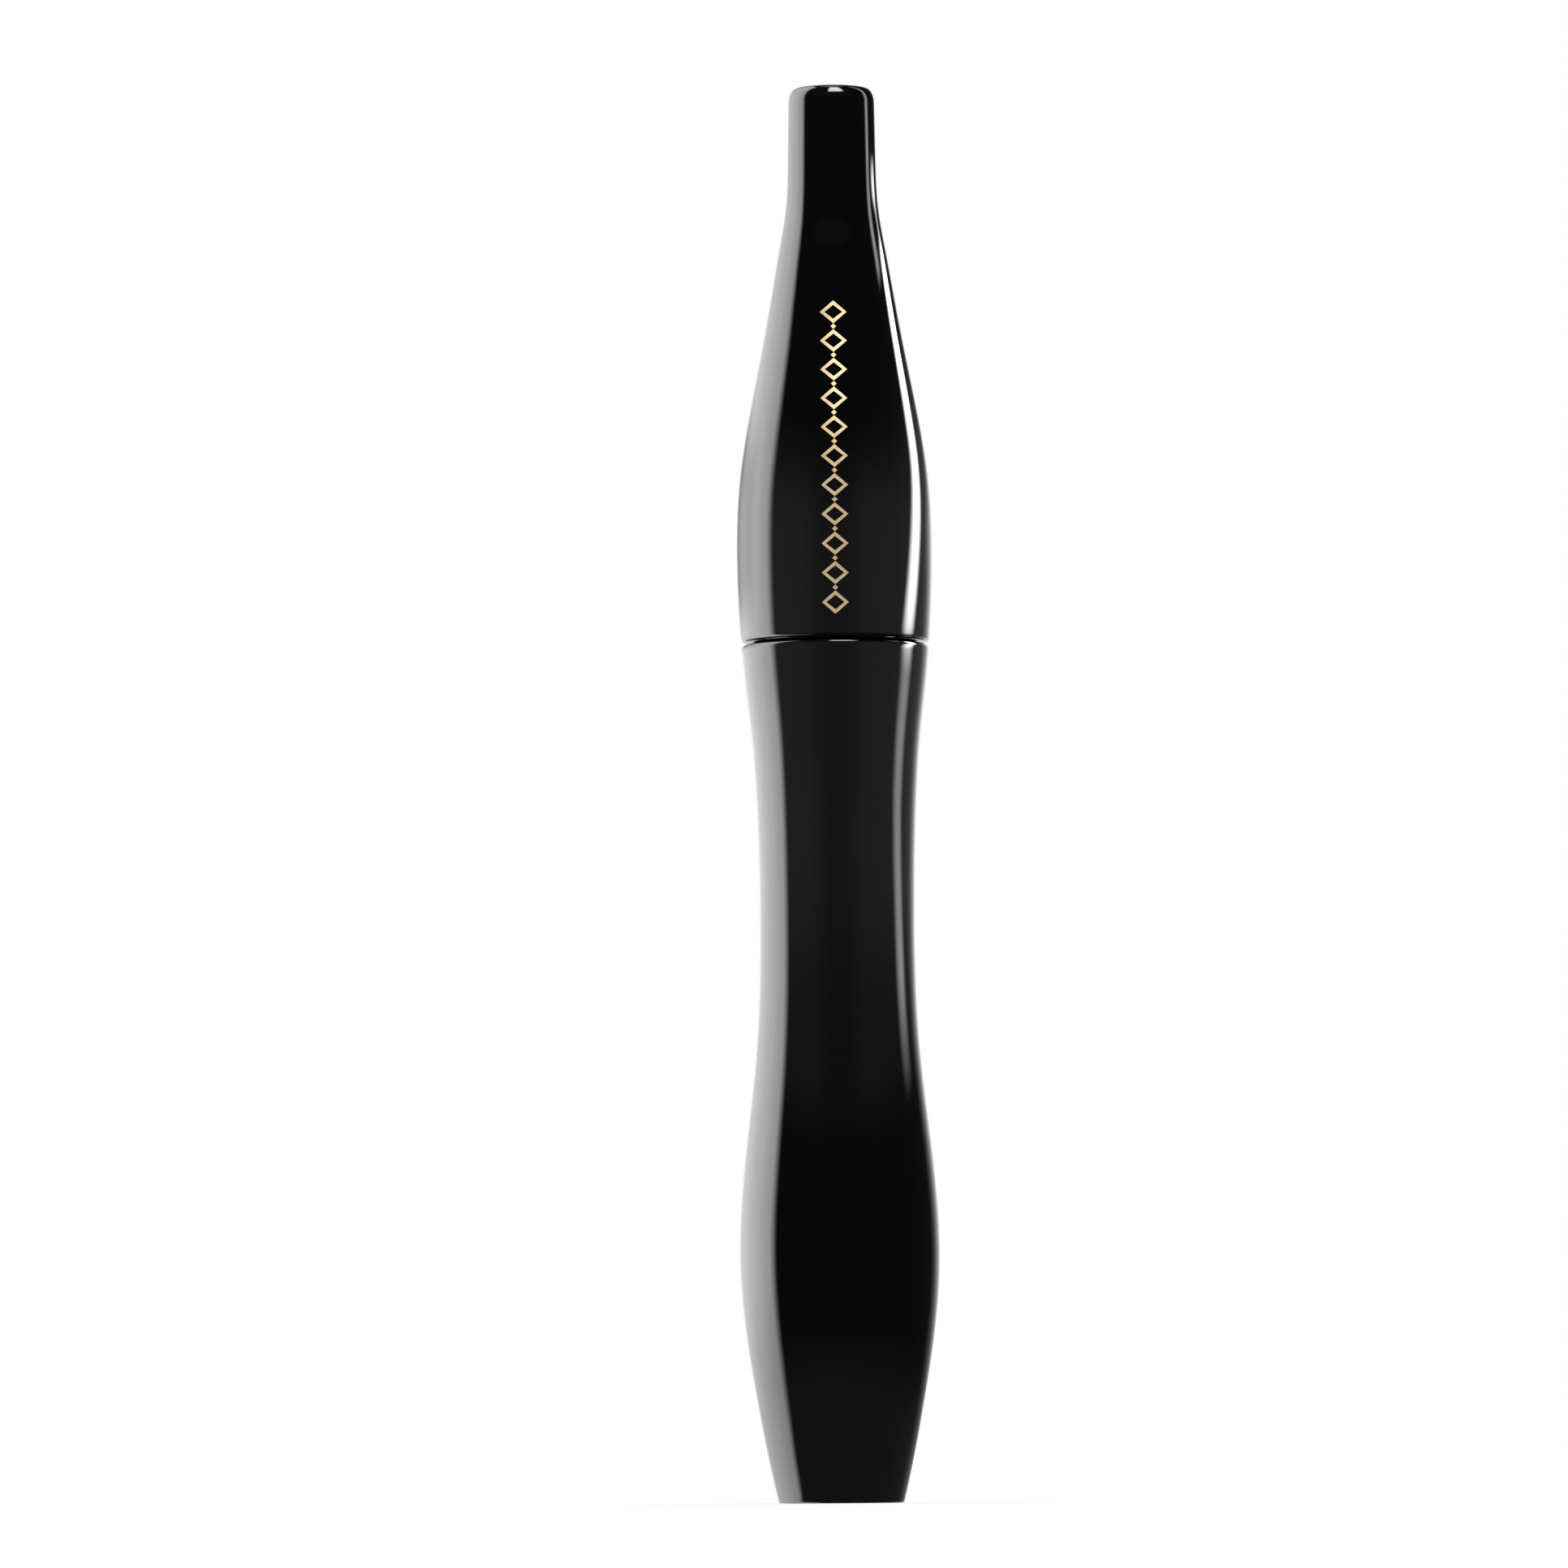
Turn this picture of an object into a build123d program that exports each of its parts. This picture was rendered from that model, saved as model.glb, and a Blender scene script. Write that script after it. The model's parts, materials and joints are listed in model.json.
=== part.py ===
from build123d import *
import os

# Mascara tube: a black bottle with a pinched waist, closed by a long screw cap that
# carries the rod and the twisted-wire brush. Millimetres, +Z up, origin at the
# centre of the foot, front of the tube towards -Y.

# ---- driving dimensions ------------------------------------------------------------
total_height = 138.0
seam_height = 83.6          # where the cap meets the bottle
seam_gap = 0.3

foot_radius = 6.07
belly_radius = 9.70         # widest ring of the bottle
waist_radius = 7.53         # narrowest ring of the bottle
rim_radius = 9.20           # both pieces at the seam
shoulder_radius = 9.54      # widest ring of the cap
tip_radius = 4.20           # slim end of the cap

vial_radius = 6.10
vial_wall = 0.80
neck_radius = 5.00
neck_bore = 3.90
fit = 0.10                  # slip clearance between moulded pieces

thread_lead = 3.0
thread_turns = 1.5          # turns from closed to free
thread_depth = 0.70
thread_root = 1.70
thread_crest = 1.00
thread_clearance = 0.15

rod_radius = 1.70
reach = 68.25               # from the cap's mouth to the end of the wire
brush_length = 25.3
brush_radius = 2.50
row_count = 18              # bristle rows along the brush
row_spacing = brush_length / row_count
wire_radius = 0.21
wire_twist = 2 * row_spacing        # each fibre shows as a row on both sides

foil_thickness = 0.04

# ---- heights worked out from the driving dimensions --------------------------------
bottle_top = seam_height - seam_gap / 2
cap_mouth = seam_height + seam_gap / 2
cap_height = total_height - cap_mouth

flange_low = bottle_top - 2.25
flange_top = flange_low + 1.20
collar_top = bottle_top + 1.00
neck_top = bottle_top + 11.55
wiper_top = neck_top + 0.80
ceiling = wiper_top + 0.80          # underside of the inner cap's roof
roof_top = ceiling + 2.00
socket_top = roof_top + 8.40
male_start = bottle_top + 3.15

vial_floor = 10.60
vial_corner = 1.20                  # outer corner round and floor thickness
flange_radius = 7.00
vial_bore = vial_radius - vial_wall
shell_bore = vial_radius + fit
pocket_radius = 4.60
pocket_top = 8.00                   # pocket in the foot for the steel slug

wire_end = cap_mouth - reach
brush_low = wire_end + 0.60
brush_high = brush_low + brush_length
rod_low = brush_high + 0.30

foot_round = 0.20                   # small rounds on the outer edges
rim_round = 0.25
mouth_round = 0.35


# ---- outer shape -------------------------------------------------------------------
def bottle_outline(grow=0.0):
    """Side of the bottle from foot to seam, moved outwards by grow."""
    h = bottle_top
    return Spline(
        (foot_radius + grow, 0),
        (foot_radius + 1.97 + grow, 0.114 * h),
        (belly_radius + grow, 0.278 * h),
        (belly_radius - 0.83 + grow, 0.428 * h),
        (waist_radius + 0.47 + grow, 0.520 * h),
        (waist_radius + grow, 0.697 * h),
        (waist_radius + 0.75 + grow, 0.899 * h),
        (rim_radius - 0.02 + grow, h),
        tangents=[(0.25, 1), (0.075, 1)],
    )


def cap_outline(grow=0.0):
    """Side of the cap from its mouth to its slim end, moved outwards by grow."""
    h = cap_height
    return Spline(
        (rim_radius + grow, cap_mouth),
        (shoulder_radius + grow, cap_mouth + 0.157 * h),
        (shoulder_radius - 0.24 + grow, cap_mouth + 0.274 * h),
        (shoulder_radius - 1.42 + grow, cap_mouth + 0.419 * h),
        (tip_radius + 2.38 + grow, cap_mouth + 0.565 * h),
        (tip_radius + 0.97 + grow, cap_mouth + 0.711 * h),
        (tip_radius + 0.34 + grow, cap_mouth + 0.782 * h),
        (tip_radius + 0.10 + grow, cap_mouth + 0.870 * h),
        (tip_radius + grow, cap_mouth + 0.974 * h),
        tangents=[(0.07, 1), (-0.02, 1)],
    )


def screw_thread(root, crest, start, turns, turned_from=0.0):
    """One thread ridge from its root radius to its crest radius, sunk into the wall."""
    sunk = 0.25 if crest < root else -0.25
    flank_lean = (thread_root - thread_crest) / 2 / thread_depth
    half_foot = thread_root / 2 + abs(sunk) * flank_lean
    half_crest = thread_crest / 2
    with BuildPart() as ridge:
        with BuildLine() as spiral:
            middle = (root + crest) / 2
            Helix(pitch=thread_lead, height=turns * thread_lead, radius=middle, center=(0, 0, start))
        with BuildSketch(Plane.XZ):
            with BuildLine():
                Polyline(
                    (root + sunk, start - half_foot),
                    (crest, start - half_crest),
                    (crest, start + half_crest),
                    (root + sunk, start + half_foot),
                    close=True,
                )
            make_face()
        sweep(path=spiral.wires()[0], is_frenet=True)
    return ridge.part.rotate(Axis.Z, turned_from)


def save(piece, name):
    piece.label = name
    export_step(piece, f"parts/{name}.step")


os.makedirs("parts", exist_ok=True)

# ---- bottle side -------------------------------------------------------------------
# Bottle shell: thick moulded wall, straight bore for the vial, pocket in the foot.
plug_radius = 5.20
plug_bore = plug_radius + 0.05
plug_seat = 1.25
plug_recess = 0.25
counterbore = flange_radius + 0.05
bore_floor = vial_floor - 0.5

with BuildPart() as bottle_shell:
    with BuildSketch(Plane.XZ):
        with BuildLine():
            side = bottle_outline()
            Polyline(
                side @ 1,
                (counterbore, bottle_top),
                (counterbore, flange_low),
                (shell_bore, flange_low),
                (shell_bore, bore_floor),
                (0, bore_floor),
                (0, pocket_top),
                (pocket_radius, pocket_top),
                (pocket_radius, plug_seat),
                (plug_bore, plug_seat),
                (plug_bore, 0),
                side @ 0,
            )
        make_face()
    revolve(axis=Axis.Z)
    rims = bottle_shell.edges().filter_by(GeomType.CIRCLE)
    fillet(rims.group_by(Axis.Z)[-1].sort_by(SortBy.RADIUS)[-1], radius=rim_round)
    fillet(rims.group_by(Axis.Z)[0].sort_by(SortBy.RADIUS)[-1], radius=foot_round)
save(bottle_shell.part, "bottle_shell")

# Base weight: steel slug in the foot's pocket.
slug_low = 2.2

with BuildPart() as base_weight:
    with BuildSketch(Plane.XY.offset(slug_low)):
        Circle(pocket_radius - fit)
    extrude(amount=pocket_top - fit - slug_low)
    chamfer(base_weight.edges().filter_by(GeomType.CIRCLE), length=0.3)
save(base_weight.part, "base_weight")

# Base plug: stepped disc that closes the pocket.
spigot = 0.90               # wall and height of the ring that grips the pocket

with BuildPart() as base_plug:
    with BuildSketch(Plane.XY.offset(plug_recess)):
        Circle(plug_radius)
    extrude(amount=plug_seat - plug_recess)
    with BuildSketch(Plane.XY.offset(plug_seat)):
        Circle(pocket_radius - 0.02)
        Circle(pocket_radius - spigot, mode=Mode.SUBTRACT)
    extrude(amount=spigot)
save(base_plug.part, "base_plug")

# Base label: plain foil disc stuck under the plug.
label_thickness = 0.10

with BuildPart() as base_label:
    with BuildSketch(Plane.XY.offset(plug_recess - label_thickness)):
        Circle(plug_radius - 0.35)
    extrude(amount=label_thickness)
save(base_label.part, "base_label")

# Vial: moulded inner bottle with a hanging flange and a threaded neck.
shoulder_low = flange_low - 1.6
inner_floor = vial_floor + vial_corner
bore_corner = 1.40

with BuildPart() as vial:
    with BuildSketch(Plane.XZ):
        with BuildLine():
            bottom = Line((0, vial_floor), (vial_radius - vial_corner, vial_floor))
            outer_corner = TangentArc(bottom @ 1, (vial_radius, vial_floor + vial_corner), tangent=(1, 0))
            wall = Polyline(
                outer_corner @ 1,
                (vial_radius, flange_low),
                (flange_radius, flange_low),
                (flange_radius, flange_top),
                (neck_radius, flange_top),
                (neck_radius, neck_top),
                (neck_bore, neck_top),
                (neck_bore, flange_top),
                (vial_bore, shoulder_low),
                (vial_bore, inner_floor + bore_corner),
            )
            inner_corner = TangentArc(wall @ 1, (vial_bore - bore_corner, inner_floor), tangent=(0, -1))
            Polyline(inner_corner @ 1, (0, inner_floor), bottom @ 0)
        make_face()
    revolve(axis=Axis.Z)
    add(screw_thread(neck_radius, neck_radius + thread_depth, male_start, thread_turns))
save(vial.part, "vial")

# Collar: pressed into the shell's mouth, it holds the vial's flange down.
with BuildPart() as collar:
    with BuildSketch(Plane.XY.offset(flange_top)):
        Circle(counterbore)
        Circle(neck_radius + thread_clearance, mode=Mode.SUBTRACT)
    extrude(amount=collar_top - flange_top)
    fillet(collar.edges().group_by(Axis.Z)[-1].sort_by(SortBy.RADIUS)[-1], radius=mouth_round)
save(collar.part, "collar")

# Wiper: rubber sleeve plugged into the neck, its lip strips the rod and the brush.
wiper_low = flange_top - 4.0
wiper_bore = 3.20
lip_radius = rod_radius + 0.09

with BuildPart() as wiper:
    with BuildSketch(Plane.XZ):
        with BuildLine():
            Polyline(
                (wiper_bore, wiper_top),
                (neck_radius - 0.1, wiper_top),
                (neck_radius - 0.1, neck_top),
                (neck_bore - 0.02, neck_top),
                (neck_bore - 0.02, flange_top - 0.25),
                (neck_bore + 0.12, flange_top - 0.55),
                (neck_bore + 0.12, flange_top - 0.95),
                (neck_bore - 0.35, flange_top - 1.6),
                (lip_radius + 0.45, wiper_low),
                (lip_radius, wiper_low),
                (lip_radius, wiper_low + 0.5),
                (wiper_bore, flange_top - 1.2),
                close=True,
            )
        make_face()
    revolve(axis=Axis.Z)
save(wiper.part, "wiper")

# Mascara formula: the paste lining the vial, with the channel that the brush keeps open.
paste_low = inner_floor + fit
paste_top = 60.0
paste_radius = vial_bore - fit
paste_corner = 1.40
channel = brush_radius + 0.25
channel_low = wire_end - 0.8

with BuildPart() as mascara_formula:
    with BuildSketch(Plane.XZ):
        with BuildLine():
            bottom = Line((0, paste_low), (paste_radius - paste_corner, paste_low))
            corner = TangentArc(bottom @ 1, (paste_radius, paste_low + paste_corner), tangent=(1, 0))
            Polyline(
                corner @ 1,
                (paste_radius, paste_top),
                (channel, paste_top - 1.5),
                (channel, channel_low),
                (0, channel_low),
                bottom @ 0,
            )
        make_face()
    revolve(axis=Axis.Z)
save(mascara_formula.part, "mascara_formula")

# ---- applicator side ---------------------------------------------------------------
# Cap shell: thick moulded wall, stepped bore for the inner cap and the weight.
inner_cap_radius = 7.90
cap_bore = inner_cap_radius + 0.05
weight_radius = 2.95
weight_top = total_height - 4.6
disc_radius = 3.40
disc_depth = 0.60
end_width = tip_radius - disc_radius - 0.05

with BuildPart() as cap_shell:
    with BuildSketch(Plane.XZ):
        with BuildLine():
            flank = cap_outline()
            EllipticalCenterArc(
                (tip_radius - end_width, (flank @ 1).Y),
                x_radius=end_width,
                y_radius=total_height - (flank @ 1).Y,
                start_angle=0,
                arc_size=90,
            )
            Polyline(
                (tip_radius - end_width, total_height),
                (disc_radius + 0.02, total_height),
                (disc_radius + 0.02, total_height - disc_depth),
                (0, total_height - disc_depth),
                (0, weight_top + 0.1),
                (weight_radius + fit, weight_top + 0.1),
                (weight_radius + fit, socket_top + 10.5),
                (inner_cap_radius - 0.8, roof_top + 0.8),
                (inner_cap_radius - 0.8, roof_top),
                (cap_bore, roof_top),
                (cap_bore, cap_mouth),
                flank @ 0,
            )
        make_face()
    revolve(axis=Axis.Z)
    mouth_edges = cap_shell.edges().filter_by(GeomType.CIRCLE).group_by(Axis.Z)[0]
    fillet(mouth_edges.sort_by(SortBy.RADIUS)[-1], radius=mouth_round)
save(cap_shell.part, "cap_shell")

# End disc: gold aluminium disc inlaid in the slim end.
with BuildPart() as end_disc:
    with BuildSketch(Plane.XY.offset(total_height - disc_depth)):
        Circle(disc_radius)
    extrude(amount=disc_depth - 0.06)
    chamfer(end_disc.edges().group_by(Axis.Z)[-1], length=0.08)
save(end_disc.part, "end_disc")

# Cap weight: round steel slug in the slim end.
with BuildPart() as cap_weight:
    with BuildSketch(Plane.XY.offset(socket_top + 0.3)):
        Circle(weight_radius)
    extrude(amount=weight_top - socket_top - 0.3)
    chamfer(cap_weight.edges().filter_by(GeomType.CIRCLE), length=0.4)
save(cap_weight.part, "cap_weight")

# Inner cap: screw cap with gripping ribs outside and the rod's socket on its roof.
rod_head = 2.20
socket_wall = 1.10
rib_count = 16
rib_depth = 0.35
skirt_radius = inner_cap_radius - rib_depth
skirt_low = cap_mouth + 0.85
thread_bore = neck_radius + thread_depth + thread_clearance
female_start = male_start + 0.6 * thread_lead
female_turns = 0.85

with BuildPart() as inner_cap:
    with BuildSketch(Plane.XZ):
        with BuildLine():
            Polyline(
                (thread_bore, skirt_low),
                (skirt_radius, skirt_low),
                (skirt_radius, roof_top),
                (rod_head + socket_wall, roof_top),
                (rod_head + socket_wall, socket_top),
                (0, socket_top),
                (0, socket_top - 0.9),
                (rod_head, socket_top - 0.9),
                (rod_head, ceiling),
                (thread_bore, ceiling),
                close=True,
            )
        make_face()
    revolve(axis=Axis.Z)
    with BuildSketch(Plane.XY.offset(cap_mouth + 1.5)):
        with PolarLocations(skirt_radius, rib_count):
            Rectangle(2 * rib_depth, 0.6)
    extrude(amount=roof_top - cap_mouth - 2.0)
    add(screw_thread(thread_bore, neck_radius + thread_clearance, female_start, female_turns, turned_from=36))
save(inner_cap.part, "inner_cap")

# Gasket: soft washer between the inner cap's roof and the wiper.
with BuildPart() as gasket:
    with BuildSketch(Plane.XY.offset(wiper_top + 0.05)):
        Circle(thread_bore - fit)
        Circle(wiper_bore + fit, mode=Mode.SUBTRACT)
    extrude(amount=ceiling - wiper_top - 0.05)
save(gasket.part, "gasket")

# Rod: moulded stem, its barbed head pressed into the socket, drilled for the wire.
wire_depth = 8.0
wire_hole = 2 * wire_radius + 0.08

with BuildPart() as rod:
    with BuildSketch(Plane.XZ):
        with BuildLine():
            Polyline(
                (wire_hole, rod_low),
                (rod_radius - 0.5, rod_low),
                (rod_radius, rod_low + 4.7),
                (rod_radius, ceiling - 1.0),
                (wiper_bore - 0.2, ceiling - 1.0),
                (wiper_bore - 0.2, ceiling),
                (rod_head - 0.15, ceiling),
                (rod_head - 0.15, ceiling + 2.6),
                (rod_head, ceiling + 3.2),
                (rod_head - 0.15, ceiling + 3.6),
                (rod_head - 0.15, ceiling + 5.6),
                (rod_head, ceiling + 6.2),
                (rod_head - 0.15, ceiling + 6.6),
                (rod_head - 0.15, socket_top - 1.8),
                (rod_head - 0.55, socket_top - 1.1),
                (0, socket_top - 1.1),
                (0, rod_low + wire_depth),
                (wire_hole, rod_low + wire_depth),
                close=True,
            )
        make_face()
    revolve(axis=Axis.Z)
save(rod.part, "rod")


# Brush wires: the two legs of the core, twisted together.
def wire_leg(name, angle):
    top = rod_low + wire_depth - 0.3
    low = wire_end + 0.3
    with BuildPart() as leg:
        with BuildLine() as spiral:
            Helix(pitch=wire_twist, height=top - low, radius=wire_radius + 0.015, center=(0, 0, low))
        with BuildSketch(Plane(origin=spiral.wires()[0] @ 0, z_dir=spiral.wires()[0] % 0)):
            Circle(wire_radius)
        sweep(path=spiral.wires()[0], is_frenet=True)
    save(leg.part.rotate(Axis.Z, angle), name)


wire_leg("brush_wire_a", 0)
wire_leg("brush_wire_b", 180)

# Bristles: the brush's rows as fins on a thin sleeve around the wires.
sleeve = 2 * wire_radius + 0.06
sleeve_wall = 0.25
row_share = 0.45            # how much of each row's pitch its fin fills

with BuildPart() as bristles:
    with BuildSketch(Plane.XY.offset(brush_low)):
        Circle(sleeve + sleeve_wall)
        Circle(sleeve, mode=Mode.SUBTRACT)
    extrude(amount=brush_length)
    for row in range(row_count):
        with BuildSketch(Plane.XY.offset(brush_low + row * row_spacing)):
            Circle(brush_radius)
            Circle(sleeve, mode=Mode.SUBTRACT)
        extrude(amount=row_spacing * row_share)
save(bristles.part, "bristles")


# ---- foil ornaments on the cap -----------------------------------------------------
def lozenge(width, height, mode=Mode.ADD):
    """An upright lozenge at the current location."""
    Polygon((width / 2, 0), (0, height / 2), (-width / 2, 0), (0, -height / 2), mode=mode)


def stamp(motif):
    """Wrap a flat-cut motif onto the cap as a thin skin."""
    with BuildPart() as skin:
        with BuildSketch(Plane.XZ):
            with BuildLine():
                bare = cap_outline()
                lifted = cap_outline(foil_thickness)
                Line(bare @ 0, lifted @ 0)
                Line(bare @ 1, lifted @ 1)
            make_face()
        revolve(axis=Axis.Z)
        add(motif, mode=Mode.INTERSECT)
    return skin.part


# Front foil: an upright chain of open lozenges with small studs between them.
link_width = 2.60
link_height = 2.25
link_pitch = 2.85
link_count = 11
link_inset = 0.84           # how much smaller each link's opening is
chain_low = cap_mouth + 2.05 + link_height / 2

with BuildPart() as chain:
    with BuildSketch(Plane.XZ):
        for link in range(link_count):
            with Locations((0, chain_low + link * link_pitch)):
                lozenge(link_width, link_height)
                lozenge(link_width - link_inset, link_height - link_inset, mode=Mode.SUBTRACT)
        for link in range(link_count - 1):
            with Locations((0, chain_low + (link + 0.5) * link_pitch)):
                lozenge(0.55, 0.50)
    extrude(amount=2 * shoulder_radius)
save(stamp(chain.part), "front_foil")

# Back foil: one larger open lozenge around a solid one, with a stud at each corner.
badge_width = 5.0
badge_height = 5.6
badge_middle = cap_mouth + 5.1

with BuildPart() as badge:
    with BuildSketch(Plane.XZ):
        with Locations((0, badge_middle)):
            lozenge(badge_width, badge_height)
            lozenge(badge_width - 1.2, badge_height - 1.3, mode=Mode.SUBTRACT)
            lozenge(1.9, 2.1)
        for across in (-1, 1):
            for up in (-1, 1):
                with Locations((across * badge_width * 0.38, badge_middle + up * badge_height * 0.38)):
                    lozenge(0.65, 0.70)
    extrude(amount=-2 * shoulder_radius)
save(stamp(badge.part), "back_foil")
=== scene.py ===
import bmesh
import bpy
import json
import math
import numpy as np
import random
from mathutils import Matrix, Vector


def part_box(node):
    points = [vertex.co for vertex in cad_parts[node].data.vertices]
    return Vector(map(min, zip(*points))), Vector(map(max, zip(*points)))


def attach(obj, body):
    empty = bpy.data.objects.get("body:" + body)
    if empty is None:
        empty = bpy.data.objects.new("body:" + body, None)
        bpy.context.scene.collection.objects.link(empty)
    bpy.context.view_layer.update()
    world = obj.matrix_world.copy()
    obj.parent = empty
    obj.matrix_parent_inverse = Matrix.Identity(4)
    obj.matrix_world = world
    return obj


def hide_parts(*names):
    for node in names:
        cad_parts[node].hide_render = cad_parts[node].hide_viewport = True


# Screw-cap mascara tube. Lengths are in mm here and become metres where the meshes are made.
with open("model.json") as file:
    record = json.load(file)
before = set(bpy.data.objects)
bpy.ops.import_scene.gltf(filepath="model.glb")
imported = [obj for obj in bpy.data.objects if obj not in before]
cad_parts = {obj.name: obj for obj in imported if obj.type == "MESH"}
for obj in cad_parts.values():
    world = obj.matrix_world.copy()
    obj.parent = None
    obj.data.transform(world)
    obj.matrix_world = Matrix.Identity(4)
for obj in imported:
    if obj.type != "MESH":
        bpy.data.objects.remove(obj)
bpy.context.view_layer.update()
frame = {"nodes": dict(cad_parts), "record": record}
mm = 0.001
clear = 1e-6


# shader helpers

class Tap:
    # one output of a shader node, so that sums on it read as plain Python
    def __init__(self, graph, socket):
        self.graph = graph
        self.socket = socket

    def other(self, name):
        return Tap(self.graph, self.socket.node.outputs[name])

    def work(self, operation, first, second=0.0):
        return self.graph.node("ShaderNodeMath", {"operation": operation}, {0: first, 1: second})

    def __add__(self, more):
        return self.work("ADD", self, more)

    def __radd__(self, more):
        return self.work("ADD", more, self)

    def __sub__(self, less):
        return self.work("SUBTRACT", self, less)

    def __rsub__(self, start):
        return self.work("SUBTRACT", start, self)

    def __mul__(self, times):
        return self.work("MULTIPLY", self, times)

    def __rmul__(self, times):
        return self.work("MULTIPLY", times, self)

    def __pow__(self, power):
        return self.work("POWER", self, power)


class Graph:
    def __init__(self, tree):
        self.tree = tree
        tree.nodes.clear()

    def node(self, kind, settings=None, sockets=None, give=0):
        made = self.tree.nodes.new(kind)
        for name, value in (settings or {}).items():
            setattr(made, name, value)
        for name, value in (sockets or {}).items():
            if isinstance(value, Tap):
                self.tree.links.new(value.socket, made.inputs[name])
            else:
                made.inputs[name].default_value = value
        return Tap(self, made.outputs[give]) if len(made.outputs) else made

    def rise(self, value, low, high, top=1.0):
        # nothing at low, top at high, eased between them
        ends = {"Value": value, "From Min": low, "From Max": high, "To Max": top}
        return self.node("ShaderNodeMapRange", {"interpolation_type": "SMOOTHSTEP"}, ends)

    def slide(self, value, ends, top):
        # nothing at the first end, top at the second, in a straight line
        sockets = {"Value": value, "From Min": ends[0], "From Max": ends[1], "To Max": top}
        return self.node("ShaderNodeMapRange", None, sockets)

    def place(self, stretch=(1, 1, 1)):
        # where a point is on the piece, in mm
        here = self.node("ShaderNodeTexCoord", give="Object")
        grow = tuple(side / mm for side in stretch)
        return self.node("ShaderNodeVectorMath", {"operation": "MULTIPLY"}, {0: here, 1: grow})

    def parts(self, place):
        # across, depth, height and distance from the axis
        across = self.node("ShaderNodeSeparateXYZ", None, {0: place})
        depth = across.other("Y")
        distance = (across * across + depth * depth) ** 0.5
        return across, depth, across.other("Z"), distance

    def cloud(self, place, scale, detail=3.0, rough=0.5):
        return self.node(
            "ShaderNodeTexNoise", None,
            {"Vector": place, "Scale": scale, "Detail": detail, "Roughness": rough},
        )

    def lines(self, value, scale, detail=2.0):
        # fine lines along one measure, as a lathe or a drawing die leaves
        return self.node(
            "ShaderNodeTexNoise", {"noise_dimensions": "1D"},
            {"W": value, "Scale": scale, "Detail": detail},
        )

    def tint(self, share, first, second):
        return self.node(
            "ShaderNodeMix", {"data_type": "RGBA"},
            {0: share, 6: (*first, 1.0), 7: (*second, 1.0)}, 2,
        )

    def dents(self, height, depth, strength=1.0):
        sockets = {"Height": height, "Distance": depth * mm, "Strength": strength}
        return self.node("ShaderNodeBump", None, sockets)

    def surface(self, sockets):
        shader = self.node("ShaderNodeBsdfPrincipled", None, sockets)
        self.node("ShaderNodeOutputMaterial", None, {"Surface": shader})


def newFinish(name):
    material = bpy.data.materials.new(name)
    material.use_nodes = True
    return material, Graph(material.node_tree)


# finishes

lacquer = {
    "deep": (0.0008, 0.0008, 0.0009), "lifted": (0.0018, 0.0018, 0.0019),
    "rough": 0.035, "peel": 0.0007,
}


def makeLacquer(name="lacquerBlack", soften=0.0, grain=(1, 1, 1)):
    # polished black moulding: faint orange peel and hairline polishing marks
    material, g = newFinish(name)
    place = g.place(grain)
    slow = g.cloud(place, 0.16)
    peel = g.cloud(place, 0.9, 1.0)
    hairs = g.rise(g.cloud(g.place((7, 7, 0.5)), 1.4, 4.0, 0.7), 0.60, 0.78)
    g.surface({
        "Base Color": g.tint(slow, lacquer["deep"], lacquer["lifted"]),
        "Roughness": lacquer["rough"] + soften + slow * 0.025 + hairs * 0.035,
        "Normal": g.dents(peel, lacquer["peel"]),
        "IOR": 1.5,
    })
    return material


satin = {"deep": (0.010, 0.010, 0.011), "lifted": (0.022, 0.022, 0.023), "rough": 0.40, "grain": 0.006}


def makeSatin():
    # black moulding left as it comes from a spark-eroded tool
    material, g = newFinish("satinBlack")
    place = g.place()
    grain = g.cloud(place, 7.0, 4.0, 0.6)
    drift = g.cloud(place, 0.35)
    g.surface({
        "Base Color": g.tint(drift * 0.6 + grain * 0.4, satin["deep"], satin["lifted"]),
        "Roughness": satin["rough"] + grain * 0.12 - drift * 0.06,
        "Normal": g.dents(grain, satin["grain"]),
        "IOR": 1.49,
    })
    return material


smoke = {"deep": (0.016, 0.016, 0.019), "lifted": (0.050, 0.049, 0.054), "rough": 0.20}


def makeSmoke():
    # smoky moulded plastic with flow marks that run up the wall
    material, g = newFinish("smokePlastic")
    flow = g.cloud(g.place((1, 1, 0.15)), 0.9, 4.0, 0.55)
    grain = g.cloud(g.place(), 3.0)
    g.surface({
        "Base Color": g.tint(flow, smoke["deep"], smoke["lifted"]),
        "Roughness": smoke["rough"] + flow * 0.12 + grain * 0.04,
        "Normal": g.dents(flow, 0.004),
        "IOR": 1.49,
        "Coat Roughness": 0.08,
        "Coat Weight": 0.25,
    })
    return material


rubber = {"clean": (0.80, 0.78, 0.73), "shaded": (0.70, 0.67, 0.61), "rough": 0.46}


def makeRubber():
    # natural soft rubber, a little blotchy and matt
    material, g = newFinish("wiperRubber")
    place = g.place()
    blotch = g.cloud(place, 0.7, 4.0)
    grain = g.cloud(place, 9.0)
    g.surface({
        "Base Color": g.tint(blotch, rubber["clean"], rubber["shaded"]),
        "Roughness": rubber["rough"] + blotch * 0.14,
        "Normal": g.dents(grain, 0.004),
        "Subsurface Weight": 0.15,
        "Subsurface Radius": (0.0008, 0.0006, 0.0005),
    })
    return material


foam = {"clean": (0.74, 0.74, 0.76), "cells": (0.52, 0.52, 0.55), "rough": 0.72}


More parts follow.
